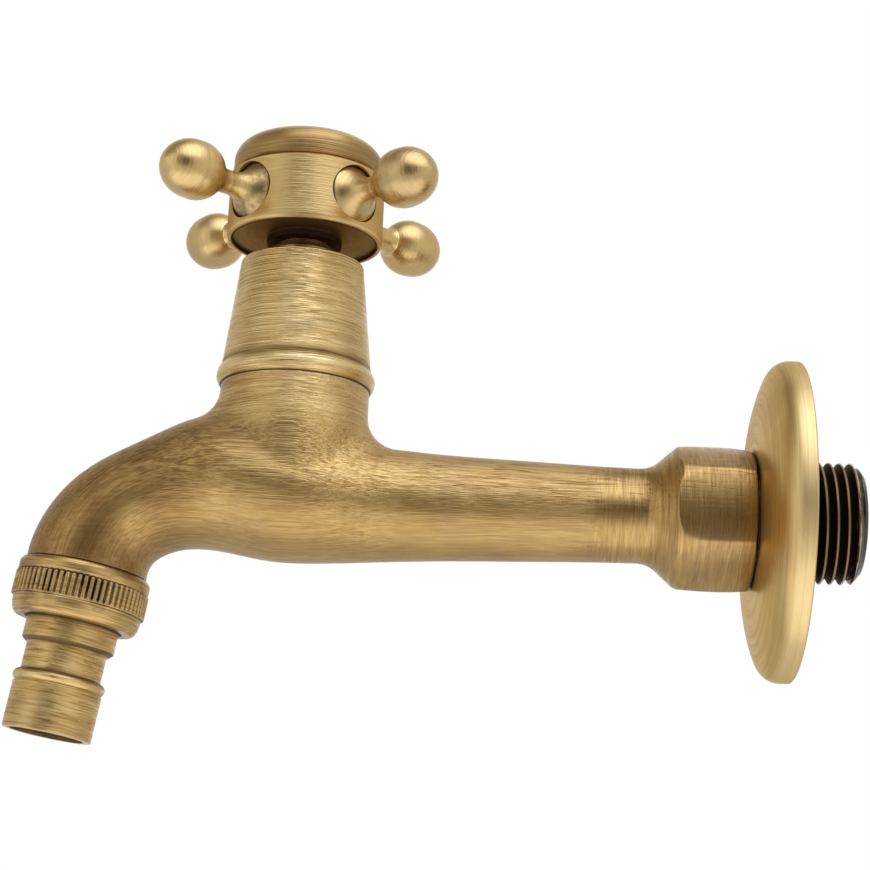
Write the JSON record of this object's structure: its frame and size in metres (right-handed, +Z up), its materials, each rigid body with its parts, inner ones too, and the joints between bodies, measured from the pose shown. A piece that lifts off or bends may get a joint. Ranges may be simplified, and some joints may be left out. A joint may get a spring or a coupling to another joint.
{
  "type": "wall-mounted water tap",
  "caption": "Wall-mounted garden and washing-machine tap in aged brass: long tube, cross handle, curved spout and a hose connector held by a knurled nut.",
  "frame": {"origin": "on the inlet's axis in the plane of the wall, which is the wall plate's back face and the start of the thread", "axes": "+X into the wall along the inlet, +Z up along the handle's axis, the spout reaches towards -X and the tap is alike on both sides of y = 0"},
  "size_m": [0.1436, 0.055, 0.1082],
  "materials": {
    "cast_brass": "aged and brushed",
    "turned_brass": "aged, with turning lines",
    "spun_brass": "aged, brushed round",
    "plain_brass": "machined",
    "black_rubber": "moulded",
    "fibre": "pressed fibre",
    "white_ceramic": "lapped ceramic",
    "pale_nylon": "moulded",
    "spring_steel": "plain"
  },
  "bodies": {
    "tap": {"tap_body": "cast_brass", "headwork_gasket": "fibre", "headwork_body": "plain_brass", "seat_seal": "black_rubber", "fixed_disc": "white_ceramic", "thrust_washer": "pale_nylon", "bonnet": "turned_brass", "hose_washer": "black_rubber"},
    "handle": {"handle_hub": "turned_brass", "hub_cap": "turned_brass", "handle_screw": "spring_steel", "arm_front_left": "turned_brass", "arm_front_right": "turned_brass", "arm_rear_left": "turned_brass", "arm_rear_right": "turned_brass", "spindle": "plain_brass", "moving_disc": "white_ceramic", "lower_seal_ring": "black_rubber", "upper_seal_ring": "black_rubber", "spindle_clip": "spring_steel"},
    "wall_plate": {"escutcheon": "spun_brass"},
    "nut": {"coupling_nut": "turned_brass"},
    "tail": {"hose_connector": "turned_brass"}
  },
  "joints": [
    {"name": "handle_turn", "type": "hinge", "parent": "tap", "child": "handle", "pos_m": [-0.0864, 0, 0.0531], "axis": [0, 0, 1], "range_deg": [0, 90]},
    {"name": "wall_plate_spin", "type": "hinge", "parent": "tap", "child": "wall_plate", "pos_m": [0, 0, 0], "axis": [1, 0, 0], "continuous": true},
    {"name": "coupling_nut_spin", "type": "hinge", "parent": "tap", "child": "nut", "pos_m": [-0.12, 0, -0.0132], "axis": [0.1547, 0, 0.988], "continuous": true},
    {"name": "hose_connector_swivel", "type": "hinge", "parent": "tap", "child": "tail", "pos_m": [-0.12, 0, -0.0132], "axis": [0.1547, 0, 0.988], "continuous": true}
  ]
}
